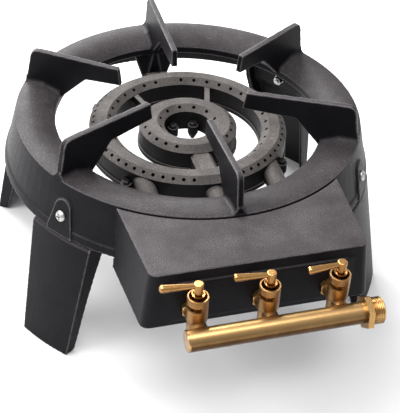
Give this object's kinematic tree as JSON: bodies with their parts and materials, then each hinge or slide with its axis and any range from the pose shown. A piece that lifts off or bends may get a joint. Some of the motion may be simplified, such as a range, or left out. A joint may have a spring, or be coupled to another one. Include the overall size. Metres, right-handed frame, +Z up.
{
  "type": "wok burner",
  "caption": "Cast-iron wok burner: a footed pan ring round two concentric flame rings, a front hood over the mixing tubes, and a brass manifold with push-and-turn lever taps.",
  "frame": {"origin": "centre of the box on the floor, under the burner and a little in front of its axis", "axes": "+Z up along the burner's axis, -Y to the front with the taps, +X to the inlet's side"},
  "size_m": [0.4154, 0.527, 0.233],
  "materials": {
    "black_iron": "satin",
    "burner_iron": "matt",
    "black_steel": "satin",
    "plated_steel": "bright",
    "spring_steel": "satin",
    "brass": "polished"
  },
  "bodies": {
    "stove": {"pan_ring": "black_iron", "front_hood": "black_iron", "hood_screws": "black_steel", "hood_nuts": "black_steel", "burner_head": "burner_iron", "burner_base": "burner_iron", "burner_bolts": "black_steel", "burner_nuts": "black_steel", "tongue_bolt": "black_steel", "tongue_nut": "black_steel", "leg_front_left": "black_iron", "leg_front_right": "black_iron", "leg_rear_left": "black_iron", "leg_rear_right": "black_iron", "leg_screws": "plated_steel", "leg_washers": "plated_steel", "leg_nuts": "plated_steel", "manifold_pipe": "brass", "manifold_end_plug": "brass", "inlet_nipple": "brass", "outlet_lock_nuts": "brass", "injector_jets": "brass", "tap_body_left": "brass", "tap_body_middle": "brass", "tap_body_right": "brass"},
    "plug_left": {"tap_plug_left": "brass", "return_spring_left": "spring_steel"},
    "spindle_left": {"spindle_left": "brass", "lever_left": "brass", "cross_pin_left": "plated_steel"},
    "plug_middle": {"tap_plug_middle": "brass", "return_spring_middle": "spring_steel"},
    "spindle_middle": {"spindle_middle": "brass", "lever_middle": "brass", "cross_pin_middle": "plated_steel"},
    "plug_right": {"tap_plug_right": "brass", "return_spring_right": "spring_steel"},
    "spindle_right": {"spindle_right": "brass", "lever_right": "brass", "cross_pin_right": "plated_steel"}
  },
  "joints": [
    {"name": "turn_left", "type": "hinge", "parent": "stove", "child": "plug_left", "pos_m": [-0.07, -0.22506, 0.1823], "axis": [0, 0, 1], "range_deg": [0, 90]},
    {"name": "push_left", "type": "slide", "parent": "plug_left", "child": "spindle_left", "axis": [0, 0, 1], "range_m": [-0.0025, 0], "stiffness_N_per_m": 1500, "springref_m": 0.004, "deforming": ["return_spring_left"]},
    {"name": "turn_middle", "type": "hinge", "parent": "stove", "child": "plug_middle", "pos_m": [0, -0.22506, 0.1823], "axis": [0, 0, 1], "range_deg": [0, 90]},
    {"name": "push_middle", "type": "slide", "parent": "plug_middle", "child": "spindle_middle", "axis": [0, 0, 1], "range_m": [-0.0025, 0], "stiffness_N_per_m": 1500, "springref_m": 0.004, "deforming": ["return_spring_middle"]},
    {"name": "turn_right", "type": "hinge", "parent": "stove", "child": "plug_right", "pos_m": [0.07, -0.22506, 0.1823], "axis": [0, 0, 1], "range_deg": [-9, 81]},
    {"name": "push_right", "type": "slide", "parent": "plug_right", "child": "spindle_right", "axis": [0, 0, 1], "range_m": [-0.0025, 0], "stiffness_N_per_m": 1500, "springref_m": 0.004, "deforming": ["return_spring_right"]}
  ]
}
